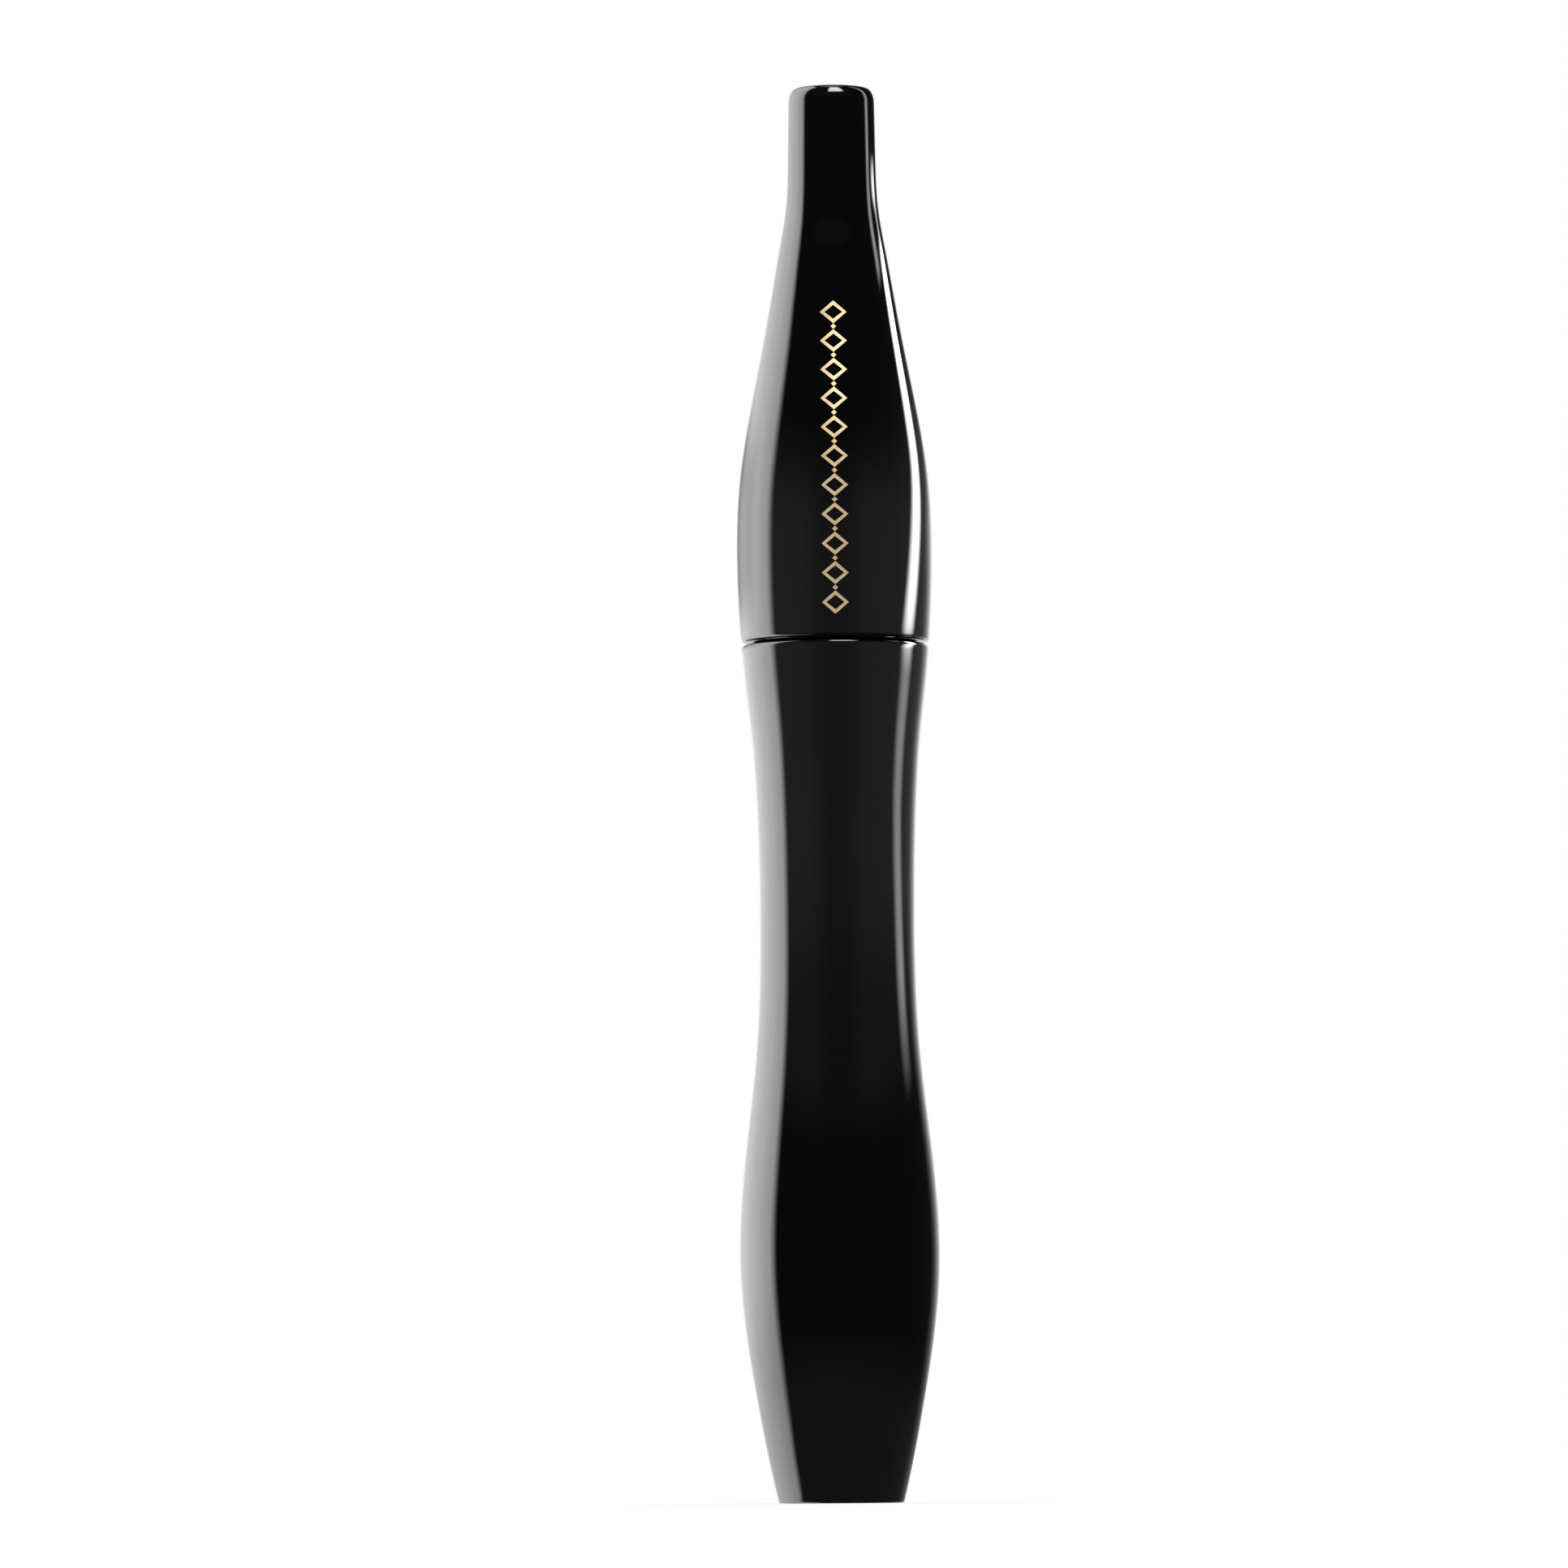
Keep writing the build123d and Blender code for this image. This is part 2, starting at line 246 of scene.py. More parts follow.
def makeFoam():
    # closed-cell foam washer
    material, g = newFinish("gasketFoam")
    place = g.place()
    cells = g.node("ShaderNodeTexVoronoi", None, {"Vector": place, "Scale": 4.5})
    walls = g.rise(cells, 0.10, 0.55)
    g.surface({
        "Base Color": g.tint(walls, foam["clean"], foam["cells"]),
        "Roughness": foam["rough"] + walls * 0.12,
        "Normal": g.dents(1.0 - walls, 0.03),
    })
    return material


paste = {"deep": (0.0025, 0.0025, 0.0028), "lifted": (0.010, 0.009, 0.009), "rough": 0.10}


def makePaste():
    # wet paste, dragged by the brush
    material, g = newFinish("mascaraPaste")
    drag = g.cloud(g.place((1, 1, 0.3)), 0.8, 5.0, 0.6)
    lumps = g.cloud(g.place(), 2.4, 3.0)
    g.surface({
        "Base Color": g.tint(drag, paste["deep"], paste["lifted"]),
        "Roughness": paste["rough"] + lumps * 0.22,
        "Normal": g.dents(drag * 0.7 + lumps * 0.3, 0.12),
        "Coat Weight": 0.4 + lumps * 0.3,
        "Coat Roughness": 0.05,
    })
    return material


steel = {"bright": (0.66, 0.66, 0.67), "dull": (0.42, 0.42, 0.44), "rough": 0.24}


def makeSteel(name="turnedSteel", pitch=9.0):
    # bar turned on a lathe: grooves along it, rings across its faces
    material, g = newFinish(name)
    across, depth, height, distance = g.parts(g.place())
    grooves = g.lines(height + distance, pitch, 3.0)
    stain = g.cloud(g.place(), 0.5, 4.0)
    g.surface({
        "Base Color": g.tint(stain * 0.6 + grooves * 0.4, steel["bright"], steel["dull"]),
        "Metallic": 0.96 + stain * 0.04,
        "Roughness": steel["rough"] + grooves * 0.14 + stain * 0.08,
        "Normal": g.dents(grooves, 0.004),
    })
    return material


disc = {"cream": (0.93, 0.70, 0.40), "amber": (0.80, 0.44, 0.17), "rough": 0.26}


def makeDiscGold():
    # spun and anodised: very fine rings, with a broad warm painted sheen that turns round the centre, a
    # painted highlight in the base colour
    material, g = newFinish("anodisedGold")
    across, depth, height, distance = g.parts(g.place())
    rings = g.lines(distance, 26.0, 2.0)
    turn = across.work("ARCTAN2", across, depth)
    # painted highlight: bright and dark sectors round the centre, painted into the base colour
    paintedSheen = g.rise(across.work("SINE", turn * 2.0 + 0.9), -1.0, 1.0)
    blush = g.cloud(g.place(), 0.35)
    g.surface({
        "Base Color": g.tint(paintedSheen * 0.6 + blush * 0.4, disc["cream"], disc["amber"]),
        "Metallic": 0.46 + rings * 0.08,
        "Roughness": disc["rough"] + rings * 0.12,
        "Normal": g.dents(rings, 0.0015),
    })
    return material


foil = {"pale": (0.80, 0.61, 0.36), "rich": (0.60, 0.43, 0.21), "rough": 0.34}


def makeFoilGold():
    # hot-stamped foil: thin, slightly uneven, a little darker where it thins out
    material, g = newFinish("foilGold")
    place = g.place()
    patch = g.cloud(place, 1.3, 5.0, 0.6)
    fine = g.cloud(place, 14.0, 2.0)
    thin = g.rise(patch, 0.52, 0.80)
    g.surface({
        "Base Color": g.tint(thin * 0.7 + fine * 0.3, foil["pale"], foil["rich"]),
        "Metallic": 0.42 + fine * 0.16,
        "Roughness": foil["rough"] + fine * 0.16 + thin * 0.08,
        "Normal": g.dents(fine * 0.5 + patch * 0.5, 0.004),
    })
    return material


def makeLabelFoil():
    # plain foil disc with a fine woven emboss
    material, g = newFinish("labelFoil")
    across, depth, height, distance = g.parts(g.place())
    weave = across.work("SINE", (across + depth) * 18.0) * across.work("SINE", (across - depth) * 18.0)
    patch = g.cloud(g.place(), 0.6, 4.0)
    g.surface({
        "Base Color": g.tint(patch, foil["pale"], foil["rich"]),
        "Metallic": 0.55 + patch * 0.15,
        "Roughness": 0.34 + patch * 0.12 + weave * 0.03,
        "Normal": g.dents(weave, 0.003),
    })
    return material


nylon = {"deep": (0.0035, 0.0035, 0.0038), "lifted": (0.013, 0.013, 0.014), "rough": 0.30}


def makeNylon():
    # fibres, each a little different, shinier towards their free ends, with painted shade: darker in colour
    # near the core, in among the fibres
    material, g = newFinish("bristleNylon")
    across, depth, height, distance = g.parts(g.place())
    strands = g.cloud(g.place(), 5.0, 2.0)
    tipShineAndShade = g.rise(distance, 1.2, 2.5)
    g.surface({
        # painted shade: the colour lightens from the core out to the fibre ends
        "Base Color": g.tint(strands * 0.7 + tipShineAndShade * 0.3, nylon["deep"], nylon["lifted"]),
        "Roughness": nylon["rough"] + strands * 0.16 - tipShineAndShade * 0.08,
        "Normal": g.dents(strands, 0.003),
        "IOR": 1.53,
    })
    return material


finishes = {
    "black_gloss": makeLacquer(),
    "black_matte": makeSatin(),
    "vial_plastic": makeSmoke(),
    "wiper_rubber": makeRubber(),
    "gasket_rubber": makeFoam(),
    "mascara_paste": makePaste(),
    "steel": makeSteel(),
    "gold_disc": makeDiscGold(),
    "gold_foil": makeFoilGold(),
    "label_foil": makeLabelFoil(),
    "rod_plastic": makeLacquer("rodBlack", 0.03, (1, 1, 0.2)),
    "bristle_nylon": makeNylon(),
}
print("finishes made:", len(finishes))


# mesh helpers

def measure(node):
    # radius, lowest and highest point of a round CAD node, in mm
    low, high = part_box(node)
    return high.x / mm, low.z / mm, high.z / mm


def sideOf(node, low, high, gap=0.9):
    # the outer side of a turned CAD node as a smooth function of height, in mm
    found = []
    for vertex in frame["nodes"][node].data.vertices:
        flat = Vector((vertex.co.x, vertex.co.y, 0))
        facing = vertex.normal.dot(flat.normalized()) if flat.length > 0 else 0
        if facing > 0.6 and low <= vertex.co.z / mm <= high:
            found.append((vertex.co.z / mm, flat.length / mm))
    found.sort()
    kept = [found[0]]
    for point in found:
        if point[0] - kept[-1][0] > gap:
            kept.append(point)
    heights = np.array([point[0] for point in kept])
    radii = np.array([point[1] for point in kept])

    # natural cubic through the kept points
    count = len(kept)
    step = np.diff(heights)
    slope = np.diff(radii) / step
    system = np.eye(count)
    right = np.zeros(count)
    for i in range(1, count - 1):
        system[i, i - 1:i + 2] = (step[i - 1], 2 * (step[i - 1] + step[i]), step[i])
        right[i] = 6 * (slope[i] - slope[i - 1])
    curve = np.linalg.solve(system, right)

    def radiusAt(height):
        i = int(np.clip(np.searchsorted(heights, height) - 1, 0, count - 2))
        below = height - heights[i]
        above = heights[i + 1] - height
        bend = curve[i] * above ** 3 / (6 * step[i]) + curve[i + 1] * below ** 3 / (6 * step[i])
        start = (radii[i] / step[i] - curve[i] * step[i] / 6) * above
        end = (radii[i + 1] / step[i] - curve[i + 1] * step[i] / 6) * below
        return bend + start + end

    return radiusAt


def spot(radius, angle, height):
    # a point at this radius, turn and height in mm, as a place in metres
    return radius * math.cos(angle) * mm, radius * math.sin(angle) * mm, height * mm


def arc(radius, height, wide, tall, start, end, count=7):
    # part of an ellipse round (radius, height), angles in degrees from straight outwards
    points = []
    for i in range(count + 1):
        angle = math.radians(start + (end - start) * i / count)
        points.append((radius + wide * math.cos(angle), height + tall * math.sin(angle)))
    return points


def rounded(radius, height, size, start, end, count=7):
    return arc(radius, height, size, size, start, end, count)


def sweepSide(side, low, high, spacing=0.5):
    count = max(2, round((high - low) / spacing))
    heights = [low + (high - low) * i / count for i in range(count + 1)]
    return [(side(height), height) for height in heights]


def turnInto(shape, outline, steps=160):
    # turns a closed outline of (radius, height) round the axis
    rings = []
    for radius, height in outline:
        if radius < clear:
            rings.append([shape.verts.new((0, 0, height * mm))])
            continue
        ring = []
        for k in range(steps):
            ring.append(shape.verts.new(spot(radius, math.tau * k / steps, height)))
        rings.append(ring)
    for i, near in enumerate(rings):
        far = rings[(i + 1) % len(rings)]
        if len(near) == 1 and len(far) == 1:
            continue
        for k in range(steps):
            after = (k + 1) % steps
            corners = [near[k % len(near)], near[after % len(near)]]
            corners += [far[after % len(far)], far[k % len(far)]]
            shape.faces.new(list(dict.fromkeys(corners)))


def joinRings(shape, rings):
    # skin over a row of open or closed sections, closed at both ends
    for near, far in zip(rings, rings[1:]):
        for k in range(len(near)):
            after = (k + 1) % len(near)
            shape.faces.new((near[k], near[after], far[after], far[k]))
    shape.faces.new(rings[0][::-1])
    shape.faces.new(rings[-1])


def threadInto(shape, thread, start):
    # screw ridge that fades into the wall at both ends
    outward = 1 if thread["crest"] > thread["root"] else -1
    steps = round(thread["turns"] * 80)
    rings = []
    for i in range(steps + 1):
        turn = thread["turns"] * i / steps
        ease = min(1, turn / thread["fade"], (thread["turns"] - turn) / thread["fade"])
        ease = ease * ease * (3 - 2 * ease)
        depth = abs(thread["crest"] - thread["root"]) * ease - 0.03 * (1 - ease)
        wide = thread["foot"] / 2
        flat = thread["top"] / 2
        section = [(-0.25, -wide), (0, -wide), (depth * 0.8, -flat - 0.06), (depth, -flat + 0.10)]
        section += [(out, -up) for out, up in reversed(section)]
        angle = math.radians(thread["from"]) + math.tau * turn
        height = start + thread["lead"] * turn
        ring = []
        for out, up in section:
            radius = thread["root"] + outward * out
            ring.append(shape.verts.new(spot(radius, angle, height + up)))
        rings.append(ring)
    joinRings(shape, rings)


def addPiece(name, shape, body, slotName, replaced=(), bend=32, finish=None):
    bmesh.ops.recalc_face_normals(shape, faces=shape.faces)
    for face in shape.faces:
        face.smooth = True
    for edge in shape.edges:
        edge.smooth = edge.calc_face_angle(0) < math.radians(bend)
    mesh = bpy.data.meshes.new(name)
    shape.to_mesh(mesh)
    shape.free()
    mesh.materials.append(finish or finishes[slotName])
    made = bpy.data.objects.new(name, mesh)
    bpy.context.scene.collection.objects.link(made)
    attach(made, body)
    if replaced:
        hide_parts(*replaced)


def addTurned(name, outline, body, slotName, replaced=(), steps=160):
    shape = bmesh.new()
    turnInto(shape, outline, steps)
    addPiece(name, shape, body, slotName, replaced)


# measures that several pieces share
collarRadius, collarLow, collarTop = measure("collar")
slugRadius, _, slugTop = measure("cap_weight")
plugRadius, plugLow, plugTop = measure("base_plug")
footLow, bottleTop = measure("bottle_shell")[1:]
capMouth, capTop = measure("cap_shell")[1:]
innerRadius, innerLow, innerTop = measure("inner_cap")
wiperRadius, wiperLow, wiperTop = measure("wiper")
gasketTop = measure("gasket")[2]
discRadius, discLow, discTop = measure("end_disc")
rodLow, rodTop = measure("rod")[1:]
vialRadius, vialLow, neckTop = measure("vial")
neckRadius = wiperRadius + 0.1


# bottle shell

bottle = {
    "footRound": 0.22, "rimRound": 0.42, "flange": 1.2, "vialBore": 6.2,
    "pocket": 4.6, "pocketTop": 8.0, "wellFloor": 10.1, "plugSeat": 1.25,
}


def makeBottle():
    b = bottle
    side = sideOf("bottle_shell", footLow + 0.3, bottleTop - 0.3)
    footEdge = side(b["footRound"])
    rimEdge = side(bottleTop - b["rimRound"])
    flangeLow = collarLow - b["flange"]
    outline = [(plugRadius + 0.05, 0.08), (plugRadius + 0.13, 0)]
    outline += rounded(footEdge - b["footRound"], b["footRound"], b["footRound"], -90, 0)
    outline += sweepSide(side, b["footRound"], bottleTop - b["rimRound"])[1:]
    outline += rounded(rimEdge - b["rimRound"], bottleTop - b["rimRound"], b["rimRound"], 0, 90)[1:]
    outline += [
        (collarRadius + 0.12, bottleTop), (collarRadius, bottleTop - 0.12), (collarRadius, flangeLow),
        (b["vialBore"], flangeLow), (b["vialBore"], b["wellFloor"]), (0, b["wellFloor"]),
        (0, b["pocketTop"]), (b["pocket"], b["pocketTop"]), (b["pocket"], b["plugSeat"]),
        (plugRadius + 0.05, b["plugSeat"]),
    ]
    addTurned("bottleShell", outline, "bottle", "black_gloss", ["bottle_shell"], 192)


makeBottle()


# foot plug with a moulded ring

plug = {"wall": 0.9, "groove": 0.10, "edge": 0.08}


def makePlug():
    p = plug
    seat = bottle["plugSeat"]
    outline = [
        (0, plugLow), (plugRadius - 0.22, plugLow),
        (plugRadius - 0.16, plugLow + p["groove"]), (plugRadius - p["edge"], plugLow + p["groove"] * 0.4),
        (plugRadius, plugLow + p["edge"]), (plugRadius, seat - p["edge"]), (plugRadius - p["edge"], seat),
        (bottle["pocket"] - 0.02, seat), (bottle["pocket"] - 0.02, plugTop - 0.2),
        (bottle["pocket"] - 0.15, plugTop), (bottle["pocket"] - p["wall"], plugTop),
        (bottle["pocket"] - p["wall"], seat), (0, seat),
    ]
    addTurned("footPlug", outline, "bottle", "black_matte", ["base_plug"], 128)


makePlug()


# vial with its threaded neck

vial = {
    "bore": 5.3, "body": 6.1, "neckBore": 3.9, "corner": 1.2, "floor": 1.2, "shoulder": 1.6, "lip": 0.14,
    "thread": {
        "crest": 5.7, "root": 5.0, "foot": 1.7, "top": 1.0, "lead": 3.0, "turns": 1.5,
        "from": 0, "fade": 0.10,
    },
    "threadStart": 3.15,
}


def makeVial():
    v = vial
    flangeLow = collarLow - bottle["flange"]
    corner = v["corner"]
    outline = [(0, vialLow)]
    outline += rounded(v["body"] - corner, vialLow + corner, corner, -90, 0)
    outline += [(v["body"], flangeLow), (vialRadius - 0.1, flangeLow), (vialRadius, flangeLow + 0.1)]
    outline += [(vialRadius, collarLow - 0.1), (vialRadius - 0.1, collarLow), (neckRadius, collarLow)]
    outline += rounded(neckRadius - v["lip"], neckTop - v["lip"], v["lip"], 0, 90, 4)
    outline += [(v["neckBore"] + 0.1, neckTop), (v["neckBore"], neckTop - 0.1), (v["neckBore"], collarLow)]
    outline += [(v["bore"], flangeLow - v["shoulder"])]
    outline += rounded(v["bore"] - 1.4, vialLow + v["floor"] + 1.4, 1.4, 0, -90)
    outline += [(0, vialLow + v["floor"])]
    shape = bmesh.new()
    turnInto(shape, outline, 128)
    threadInto(shape, v["thread"], bottleTop + v["threadStart"])
    addPiece("vialWithNeck", shape, "bottle", "vial_plastic", ["vial"])


makeVial()


# collar

collar = {"round": 0.35, "inner": 0.12}


def makeCollar():
    c = collar
    hole = neckRadius + 0.15
    outline = [(hole, collarLow), (collarRadius, collarLow)]
    outline += rounded(collarRadius - c["round"], collarTop - c["round"], c["round"], 0, 90)
    outline += rounded(hole + c["inner"], collarTop - c["inner"], c["inner"], 90, 180, 4)
    addTurned("collarRing", outline, "bottle", "black_gloss", ["collar"])


makeCollar()


# wiper: rounded sleeve with a snap ring and a thin lip

wiper = {"bore": 3.2, "sleeve": 3.88, "snap": 4.02, "lip": 1.79, "lipWall": 0.45}


def makeWiper():
    w = wiper
    outline = [(w["bore"], wiperTop - 0.25)]
    outline += rounded(w["bore"] + 0.2, wiperTop - 0.2, 0.2, 180, 90, 4)
    outline += rounded(wiperRadius - 0.2, wiperTop - 0.2, 0.2, 90, 0, 4)
    outline += [
        (wiperRadius, neckTop + 0.05), (wiperRadius - 0.05, neckTop), (w["sleeve"], neckTop),
        (w["sleeve"], collarLow - 0.2), (w["snap"], collarLow - 0.5), (w["snap"], collarLow - 0.95),
        (w["sleeve"] - 0.33, collarLow - 1.6), (w["lip"] + w["lipWall"], wiperLow),
    ]
    outline += rounded(w["lip"] + 0.12, wiperLow + 0.12, 0.12, -90, -180, 4)
    outline += [
        (w["lip"], wiperLow + 0.5), (w["bore"] - 0.25, collarLow - 1.9), (w["bore"], collarLow - 1.2),
    ]
    addTurned("wiperSleeve", outline, "bottle", "wiper_rubber", ["wiper"], 128)


makeWiper()
print("bottle side built")


# cap shell

cap = {
    "mouthRound": 0.35, "tipWide": 0.75, "tipTall": 1.41, "bore": 7.95, "ledge": 7.1,
    "coneLow": 0.8, "coneTop": 10.5, "slugGap": 0.1, "socketTall": 8.4,
}


def makeCap():
    c = cap
    flankTop = capTop - c["tipTall"]
    side = sideOf("cap_shell", capMouth + 0.4, flankTop)
    mouthEdge = side(capMouth + c["mouthRound"])
    tipEdge = side(flankTop)
    roof = innerTop - c["socketTall"]
    well = slugRadius + c["slugGap"]
    outline = [(c["bore"], capMouth + 0.15), (c["bore"] + 0.15, capMouth)]
    outline += rounded(mouthEdge - c["mouthRound"], capMouth + c["mouthRound"], c["mouthRound"], -90, 0)
    outline += sweepSide(side, capMouth + c["mouthRound"], flankTop)[1:]
    outline += arc(tipEdge - c["tipWide"], flankTop, c["tipWide"], c["tipTall"], 0, 90, 16)[1:]
    outline += [
        (discRadius + 0.02, capTop - 0.03), (discRadius + 0.02, discLow), (0, discLow),
        (0, slugTop + c["slugGap"]), (well, slugTop + c["slugGap"]), (well, innerTop + c["coneTop"]),
        (c["ledge"], roof + c["coneLow"]), (c["ledge"], roof), (c["bore"], roof),
    ]
    addTurned("capShell", outline, "applicator", "black_gloss", ["cap_shell"], 192)


makeCap()


# gold disc in the slim end, its edge rolled over

endDisc = {"edge": 0.10, "dish": 0.02, "rim": 0.45}


def makeDisc():
    d = endDisc
    outline = [(0, discLow), (discRadius, discLow)]
    outline += rounded(discRadius - d["edge"], discTop - d["edge"], d["edge"], 0, 90, 5)
    outline += [(discRadius - d["rim"], discTop), (discRadius - d["rim"] - 0.12, discTop - d["dish"])]
    outline += [(discRadius * 0.4, discTop - d["dish"]), (0, discTop - d["dish"])]
    addTurned("endDisc", outline, "applicator", "gold_disc", ["end_disc"], 128)


makeDisc()


# inner cap: ribs outside, thread inside, socket for the rod

inner = {
    "rib": 0.35, "ribWide": 0.6, "ribs": 16, "socket": 3.3, "rodHole": 2.2, "roof": 2.0, "lid": 0.9,
    "thread": {
        "crest": 5.15, "root": 5.85, "foot": 1.7, "top": 1.0, "lead": 3.0, "turns": 0.85,
        "from": 36, "fade": 0.10,
    },
    "threadStart": 4.95,
}


def makeInnerCap():
    n = inner
    skirt = innerRadius - n["rib"]
    roof = innerTop - cap["socketTall"]
    ceiling = roof - n["roof"]
    bore = n["thread"]["root"]
    outline = rounded(bore + 0.2, innerLow + 0.2, 0.2, 180, 270, 4)
    outline += rounded(skirt - 0.25, innerLow + 0.25, 0.25, -90, 0, 4)
    outline += [
        (skirt, roof - 0.1), (skirt - 0.1, roof), (n["socket"] + 0.3, roof), (n["socket"], roof + 0.3),
        (n["socket"], innerTop - 0.2), (n["socket"] - 0.2, innerTop),
        (0, innerTop), (0, innerTop - n["lid"]), (n["rodHole"], innerTop - n["lid"]),
        (n["rodHole"], ceiling), (bore - 0.2, ceiling), (bore, ceiling - 0.2),
    ]
    shape = bmesh.new()
    turnInto(shape, outline, 128)
    threadInto(shape, n["thread"], bottleTop + n["threadStart"])
    for k in range(n["ribs"]):
        turn = math.tau * k / n["ribs"]
        section = [(-0.15, -n["ribWide"] / 2)]
        for bulge in (-90, -60, -30, 0, 30, 60, 90):
            angle = math.radians(bulge)
            section.append((n["rib"] * math.cos(angle), n["ribWide"] / 2 * math.sin(angle)))
        section.append((-0.15, n["ribWide"] / 2))
        rings = []
        stations = ((innerLow + 0.65, 0.3), (innerLow + 1.1, 1), (roof - 0.7, 1), (roof - 0.5, 0.7))
        for height, share in stations:
            ring = []
            for out, along in section:
                radius = skirt + out * (share if out > 0 else 1)
                x = radius * math.cos(turn) - along * math.sin(turn)
                y = radius * math.sin(turn) + along * math.cos(turn)
                ring.append(shape.verts.new((x * mm, y * mm, height * mm)))
            rings.append(ring)
        joinRings(shape, rings)
    addPiece("innerCap", shape, "applicator", "black_matte", ["inner_cap"])


makeInnerCap()


# rod

rod = {"stem": 1.7, "nose": 1.2, "taper": 4.7, "hole": 0.5, "holeDeep": 8.0, "head": 2.2, "flange": 3.0}


def makeRod():
    r = rod
    ceiling = gasketTop
    shank = r["head"] - 0.15
    outline = [(r["hole"], rodLow + 0.05), (r["hole"] + 0.05, rodLow)]
    outline += rounded(r["nose"] - 0.25, rodLow + 0.25, 0.25, -90, -5, 5)
    for i in range(1, 13):
        share = i / 12
        radius = r["nose"] + (r["stem"] - r["nose"]) * share ** 0.8
        outline.append((radius, rodLow + 0.25 + (r["taper"] - 0.25) * share))
    outline += [
        (r["stem"], ceiling - 1.35), (r["stem"] + 0.08, ceiling - 1.1), (r["stem"] + 0.35, ceiling - 1.0),
        (r["flange"] - 0.15, ceiling - 1.0), (r["flange"], ceiling - 0.85), (r["flange"], ceiling),
        (shank, ceiling),
    ]
    for barb in (3.2, 6.2):
        outline += [
            (shank, ceiling + barb - 0.6), (r["head"], ceiling + barb), (shank, ceiling + barb + 0.4),
        ]
    outline += [
        (shank, rodTop - 0.7), (r["head"] - 0.55, rodTop), (0, rodTop),
        (0, rodLow + r["holeDeep"]), (r["hole"], rodLow + r["holeDeep"]),
    ]
    addTurned("rodStem", outline, "applicator", "rod_plastic", ["rod"], 96)


makeRod()


# brush: two wires twisted together, fibres caught between them

wire = {"radius": 0.21, "offset": 0.225, "twist": 2.811, "point": 0.55, "sides": 10, "perTurn": 26}
brush = {
    "rows": 18, "tufts": 17, "fibres": 15, "core": 0.38, "thick": 0.070, "tip": 0.030,
    "spread": 0.70, "shorten": 0.54, "seed": 41,
}
brushRadius, brushLow, brushTop = measure("bristles")


def makeWire(name, node, turnedBy):
    w = wire
    low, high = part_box(node)
    start = low.z / mm - 0.10
    top = high.z / mm - 0.06
    steps = round((top - start) / w["twist"] * w["perTurn"])
    shape = bmesh.new()
    rings = []
    for i in range(steps + 1):
        along = (top - start) * i / steps
        angle = math.radians(turnedBy) + math.tau * along / w["twist"]
        point = min(1, along / w["point"])
        offset = w["offset"] * (0.35 + 0.65 * point)
        thick = w["radius"] * (0.35 + 0.65 * point)
        centre = Vector((offset * math.cos(angle), offset * math.sin(angle), start + along))
        climb = w["twist"] / math.tau
        ahead = Vector((-offset * math.sin(angle), offset * math.cos(angle), climb)).normalized()
        out = Vector((math.cos(angle), math.sin(angle), 0))
        side = ahead.cross(out)
        ring = []
        for k in range(w["sides"]):
            turn = math.tau * k / w["sides"]
            spot = centre + (out * math.cos(turn) + side * math.sin(turn)) * thick
            ring.append(shape.verts.new(spot * mm))
        rings.append(ring)
    joinRings(shape, rings)
    addPiece(name, shape, "applicator", "steel", [node], 60, wireSteel)


def fibreInto(shape, root, tip, sag, thick, thin):
    # one tapered fibre of two stretches, square in section and smoothly shaded
    along = (tip - root).normalized()
    side = along.cross(Vector((0, 0, 1))).normalized()
    up = side.cross(along)
    rings = []
    for i in range(3):
        share = i / 2
        centre = root.lerp(tip, share) + sag * (4 * share * (1 - share))
        wide = thick + (thin - thick) * share
        ring = []
        for k in range(4):
            turn = math.pi / 2 * k + math.pi / 4
            corner = centre + (side * math.cos(turn) + up * math.sin(turn)) * wide
            ring.append(shape.verts.new(corner * mm))
        rings.append(ring)
    joinRings(shape, rings)


def makeBristles():
    b = brush
    draw = random.Random(b["seed"])
    pitch = (brushTop - brushLow) / b["rows"]
    shape = bmesh.new()
    count = b["rows"] * b["tufts"]
    for tuft in range(count):
        row = (tuft + 0.5) / b["tufts"]
        for end in (0, math.pi):
            angle = math.pi * row + end + draw.uniform(-0.05, 0.05)
            height = brushLow + row * pitch + draw.uniform(-0.06, 0.06)
            reach = brushRadius - abs(draw.gauss(0, 0.07))
            for fibre in range(b["fibres"]):
                aside = draw.uniform(-1, 1)
                above = draw.uniform(-1, 1)
                off = max(abs(aside) * 0.4, abs(above))
                length = reach - b["shorten"] * off - draw.uniform(0, 0.06)
                rootTurn = angle + aside * 0.14
                tipTurn = angle + aside * 0.095 + draw.uniform(-0.02, 0.02)
                tipHeight = height + above * b["spread"] + draw.uniform(-0.03, 0.03)
                rootHeight = height + above * b["spread"] * 0.7
                tipHeight = min(max(tipHeight, brushLow + 0.03), brushTop - 0.03)
                rootHeight = min(max(rootHeight, brushLow + 0.05), brushTop - 0.05)
                root = Vector((b["core"] * math.cos(rootTurn), b["core"] * math.sin(rootTurn), rootHeight))
                tip = Vector((length * math.cos(tipTurn), length * math.sin(tipTurn), tipHeight))
                sag = Vector((draw.uniform(-0.04, 0.04), draw.uniform(-0.04, 0.04), 0))
                fibreInto(shape, root, tip, sag, b["thick"], b["tip"])
    addPiece("brushFibres", shape, "applicator", "bristle_nylon", ["bristles"], 89)


wireSteel = makeSteel("wireSteel", 14.0)
makeWire("brushWireA", "brush_wire_a", 0)
makeWire("brushWireB", "brush_wire_b", 180)
makeBristles()
print("applicator side built")


# CAD nodes that stay in view keep their shape and take a finish from their slot

slotOf = {part["node"]: part["material_slot"] for part in frame["record"]["subparts"]}
for name, node in frame["nodes"].items():
    node.data.materials.clear()
    node.data.materials.append(finishes[slotOf[name]])
print("finishes given to the packed nodes")


# floor

floor = {
    "half": 6.0, "below": 0.03, "pale": (0.90, 0.90, 0.90), "deep": (0.86, 0.86, 0.86),
    "lit": 1.02, "share": 0.7,
}


